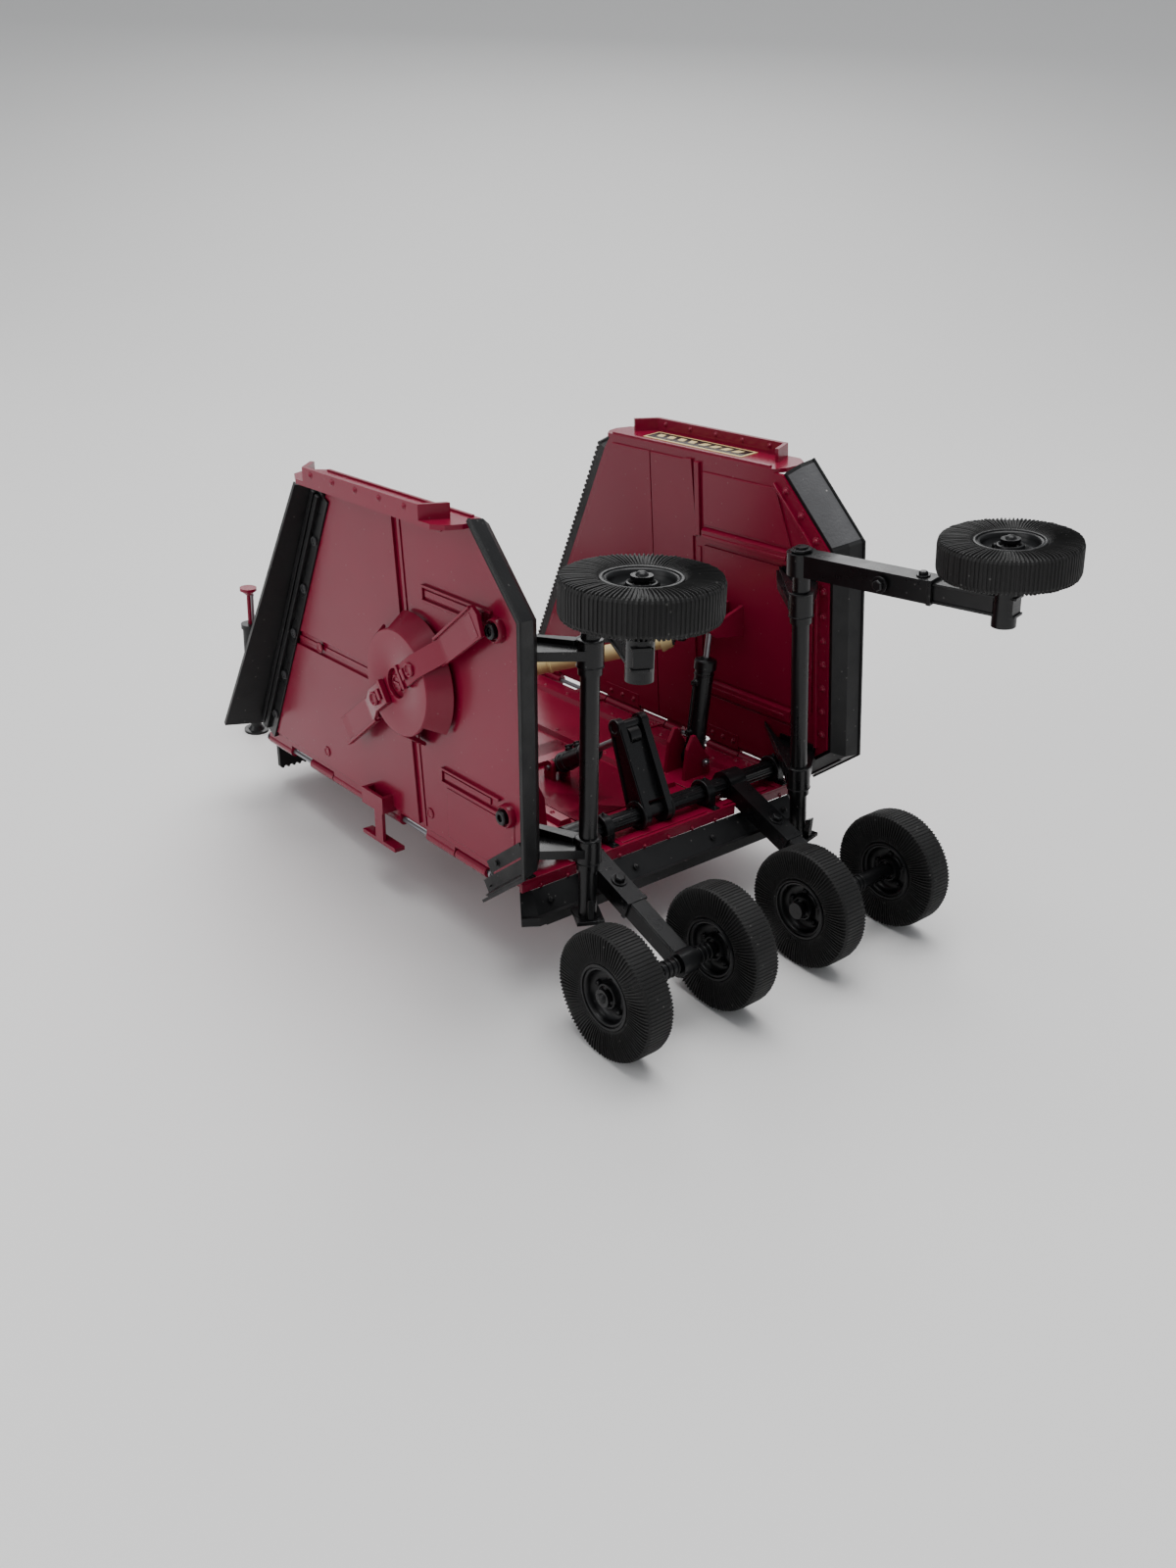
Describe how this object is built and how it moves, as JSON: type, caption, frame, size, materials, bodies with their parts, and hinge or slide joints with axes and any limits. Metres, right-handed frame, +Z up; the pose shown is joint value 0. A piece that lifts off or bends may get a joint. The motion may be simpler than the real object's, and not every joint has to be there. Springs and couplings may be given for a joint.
{
  "type": "scale model of a folding-wing rotary cutter",
  "caption": "Toy-scale trailed rotary mower with two hinged wings folded upright, blade pans, a lift axle with laminated tyres, hydraulic cylinders, and an A-frame tongue.",
  "frame": {"origin": "middle of the hitch pin's vertical bore, at the front of the tongue", "axes": "+X to the machine's right, +Y forward in the direction of travel, +Z up"},
  "size_m": [0.1458, 0.3068, 0.1267],
  "materials": {
    "red_paint": "glossy die-cast paint",
    "black_plastic": "satin moulded plastic",
    "black_rubber": "matt moulded plastic that stands for rubber belting",
    "tyre_rubber": "matt laminated tread",
    "black_rim": "satin moulded plastic",
    "bright_steel": "bright plated steel",
    "cream_plastic": "smooth moulded plastic",
    "grey_plastic": "matt moulded plastic"
  },
  "bodies": {
    "deck": {"centre_deck": "red_paint", "deck_braces": "red_paint", "centre_rear_deflector": "black_rubber", "centre_chain_guard": "black_rubber", "silver_pins": "bright_steel", "shaft_bearings": "black_plastic", "gearboxes": "grey_plastic"},
    "centre_pan": {"centre_blade_pan": "red_paint", "centre_blades": "red_paint"},
    "centre_axle": {"centre_lift_shaft": "black_plastic", "lever_mast": "black_plastic", "axle_arms": "black_plastic", "ground_axles": "black_plastic"},
    "lift_barrel": {"lift_cylinder_barrel": "black_plastic"},
    "lift_rod": {"lift_cylinder_rod": "bright_steel"},
    "tongue": {"tongue_frame": "red_paint", "jack_tube": "black_plastic"},
    "hitch": {"hitch_clevis": "red_paint"},
    "jack_leg_body": {"jack_leg": "black_plastic"},
    "jack_screw_body": {"jack_screw": "red_paint"},
    "wheel_outer_left": {"tyre_outer_left": "tyre_rubber", "rim_outer_left": "black_rim"},
    "wheel_inner_left": {"tyre_inner_left": "tyre_rubber", "rim_inner_left": "black_rim"},
    "wheel_inner_right": {"tyre_inner_right": "tyre_rubber", "rim_inner_right": "black_rim"},
    "wheel_outer_right": {"tyre_outer_right": "tyre_rubber", "rim_outer_right": "black_rim"},
    "left_wing": {"left_wing_deck": "red_paint", "left_skirt": "red_paint", "left_rear_deflector": "black_rubber", "left_front_guard": "black_rubber", "left_gearbox": "grey_plastic", "left_shaft_brackets": "black_plastic"},
    "left_pan": {"left_blade_pan": "red_paint", "left_blades": "red_paint"},
    "left_wheel_carrier": {"left_wheel_shaft": "black_plastic", "left_wheel_arm": "black_plastic"},
    "left_wing_wheel": {"tyre_wing_left": "tyre_rubber", "rim_wing_left": "black_rim"},
    "left_fold_barrel": {"left_fold_barrel": "black_plastic"},
    "left_fold_rod": {"left_fold_rod": "bright_steel"},
    "left_drive_tube": {"left_driveline_tube": "cream_plastic"},
    "left_drive_shaft": {"left_driveline_shaft": "cream_plastic"},
    "right_wing": {"right_wing_deck": "red_paint", "right_skirt": "red_paint", "right_rear_deflector": "black_rubber", "right_front_guard": "black_rubber", "right_gearbox": "grey_plastic", "right_shaft_brackets": "black_plastic"},
    "right_pan": {"right_blade_pan": "red_paint", "right_blades": "red_paint"},
    "right_wheel_carrier": {"right_wheel_shaft": "black_plastic", "right_wheel_arm": "black_plastic"},
    "right_wing_wheel": {"tyre_wing_right": "tyre_rubber", "rim_wing_right": "black_rim"},
    "right_fold_barrel": {"right_fold_barrel": "black_plastic"},
    "right_fold_rod": {"right_fold_rod": "bright_steel"},
    "right_drive_tube": {"right_driveline_tube": "cream_plastic"},
    "right_drive_shaft": {"right_driveline_shaft": "cream_plastic"}
  },
  "joints": [
    {"name": "centre_lift", "type": "hinge", "parent": "deck", "child": "centre_axle", "pos_m": [0, -0.21668, 0.00934], "axis": [1, 0, 0], "range_deg": [-18, 6]},
    {"name": "spin_outer_left", "type": "hinge", "parent": "centre_axle", "child": "wheel_outer_left", "pos_m": [-0.0521, -0.26194, -0.00476], "axis": [1, 0, 0], "continuous": true},
    {"name": "spin_inner_left", "type": "hinge", "parent": "centre_axle", "child": "wheel_inner_left", "pos_m": [-0.0166, -0.26194, -0.00476], "axis": [1, 0, 0], "continuous": true},
    {"name": "spin_inner_right", "type": "hinge", "parent": "centre_axle", "child": "wheel_inner_right", "pos_m": [0.0166, -0.26194, -0.00476], "axis": [1, 0, 0], "continuous": true},
    {"name": "spin_outer_right", "type": "hinge", "parent": "centre_axle", "child": "wheel_outer_right", "pos_m": [0.0521, -0.26194, -0.00476], "axis": [1, 0, 0], "continuous": true},
    {"name": "lift_barrel_pivot", "type": "hinge", "parent": "deck", "child": "lift_barrel", "pos_m": [-0.0015, -0.17481, 0.00601], "axis": [1, 0, 0], "range_deg": [-12, 12]},
    {"name": "lift_rod_slide", "type": "slide", "parent": "lift_barrel", "child": "lift_rod", "axis": [0, -0.813, 0.5822], "range_m": [-0.009, 0.004]},
    {"name": "left_wing_fold", "type": "hinge", "parent": "deck", "child": "left_wing", "pos_m": [-0.0534, -0.212, 0.0046], "axis": [0, -0.9976, 0.0698], "range_deg": [0, 90]},
    {"name": "left_pan_spin", "type": "hinge", "parent": "left_wing", "child": "left_pan", "pos_m": [-0.0584, -0.18182, 0.0491], "axis": [1, 0, 0], "continuous": true},
    {"name": "left_arm_lift", "type": "hinge", "parent": "left_wing", "child": "left_wheel_carrier", "pos_m": [-0.0394, -0.23245, 0.04613], "axis": [0, -0.0698, -0.9976], "range_deg": [-26, 2]},
    {"name": "left_wing_wheel_spin", "type": "hinge", "parent": "left_wheel_carrier", "child": "left_wing_wheel", "pos_m": [-0.06193, -0.27116, 0.10016], "axis": [0, 0.0698, 0.9976], "continuous": true},
    {"name": "left_fold_barrel_pivot", "type": "hinge", "parent": "deck", "child": "left_fold_barrel", "pos_m": [-0.034, -0.19672, 0.00804], "axis": [0, -0.9976, 0.0698], "range_deg": [-2, 92]},
    {"name": "left_fold_rod_slide", "type": "slide", "parent": "left_fold_barrel", "child": "left_fold_rod", "axis": [-0.1984, 0.0684, 0.9777], "range_m": [-0.001, 0.0244]},
    {"name": "left_driveline_swing", "type": "hinge", "parent": "deck", "child": "left_drive_tube", "pos_m": [-0.007, -0.13864, 0.02152], "axis": [0.4103, -0.6786, -0.6092], "range_deg": [-2, 33.4]},
    {"name": "left_driveline_slide", "type": "slide", "parent": "left_drive_tube", "child": "left_drive_shaft", "axis": [-0.6636, -0.6804, 0.3109], "range_m": [-0.001, 0.0374]},
    {"name": "right_wing_fold", "type": "hinge", "parent": "deck", "child": "right_wing", "pos_m": [0.0534, -0.212, 0.0046], "axis": [0, 0.9976, -0.0698], "range_deg": [0, 95]},
    {"name": "right_pan_spin", "type": "hinge", "parent": "right_wing", "child": "right_pan", "pos_m": [0.05433, -0.1818, 0.04936], "axis": [-0.9962, -0.0061, -0.0869], "continuous": true},
    {"name": "right_arm_lift", "type": "hinge", "parent": "right_wing", "child": "right_wheel_carrier", "pos_m": [0.03597, -0.23255, 0.04476], "axis": [-0.0872, 0.0695, 0.9938], "range_deg": [-6, 22]},
    {"name": "right_wing_wheel_spin", "type": "hinge", "parent": "right_wheel_carrier", "child": "right_wing_wheel", "pos_m": [0.03991, -0.28653, 0.09617], "axis": [-0.0872, 0.0695, 0.9938], "continuous": true},
    {"name": "right_fold_barrel_pivot", "type": "hinge", "parent": "deck", "child": "right_fold_barrel", "pos_m": [0.034, -0.19672, 0.00804], "axis": [0, 0.9976, -0.0698], "range_deg": [-2, 92]},
    {"name": "right_fold_rod_slide", "type": "slide", "parent": "right_fold_barrel", "child": "right_fold_rod", "axis": [0.1092, 0.0693, 0.9916], "range_m": [-0.001, 0.0261]},
    {"name": "right_driveline_swing", "type": "hinge", "parent": "deck", "child": "right_drive_tube", "pos_m": [0.007, -0.13864, 0.02152], "axis": [0.3975, 0.6397, 0.6578], "range_deg": [-2, 34.9]},
    {"name": "right_driveline_slide", "type": "slide", "parent": "right_drive_tube", "child": "right_drive_shaft", "axis": [0.6333, -0.7101, 0.3079], "range_m": [-0.001, 0.0397]},
    {"name": "centre_pan_spin", "type": "hinge", "parent": "deck", "child": "centre_pan", "pos_m": [0, -0.14052, -0.00541], "axis": [0, 0.0698, 0.9976], "continuous": true},
    {"name": "tongue_pitch", "type": "hinge", "parent": "deck", "child": "tongue", "pos_m": [0, -0.09604, 0], "axis": [1, 0, 0], "range_deg": [-6, 10]},
    {"name": "hitch_swivel", "type": "hinge", "parent": "tongue", "child": "hitch", "pos_m": [0, 0, 0], "axis": [0, 1, 0], "range_deg": [-25, 25]},
    {"name": "jack_screw_turn", "type": "hinge", "parent": "tongue", "child": "jack_screw_body", "pos_m": [-0.0385, -0.052, 0.0185], "axis": [0, 0, 1], "range_deg": [-361, 1441]},
    {"name": "jack_leg_slide", "type": "slide", "parent": "tongue", "child": "jack_leg_body", "axis": [0, 0, 1], "range_m": [-0.0016, 0.0064]}
  ],
  "couplings": [
    {"joint": "lift_barrel_pivot", "follows": "centre_lift", "ratio": -0.00894},
    {"joint": "lift_rod_slide", "follows": "centre_lift", "m_per_rad": 0.02162},
    {"joint": "left_fold_barrel_pivot", "follows": "left_wing_fold", "ratio": 0.80979},
    {"joint": "left_fold_rod_slide", "follows": "left_wing_fold", "m_per_rad": 0.014885},
    {"joint": "left_driveline_swing", "follows": "left_wing_fold", "ratio": 0.34847},
    {"joint": "left_driveline_slide", "follows": "left_wing_fold", "m_per_rad": 0.023152},
    {"joint": "right_fold_barrel_pivot", "follows": "right_wing_fold", "ratio": 0.82166},
    {"joint": "right_fold_rod_slide", "follows": "right_wing_fold", "m_per_rad": 0.015146},
    {"joint": "right_driveline_swing", "follows": "right_wing_fold", "ratio": 0.34579},
    {"joint": "right_driveline_slide", "follows": "right_wing_fold", "m_per_rad": 0.023321},
    {"joint": "tongue_pitch", "follows": "centre_lift", "ratio": -0.46},
    {"joint": "jack_screw_turn", "follows": "jack_leg_slide", "rad_per_m": 3927}
  ]
}
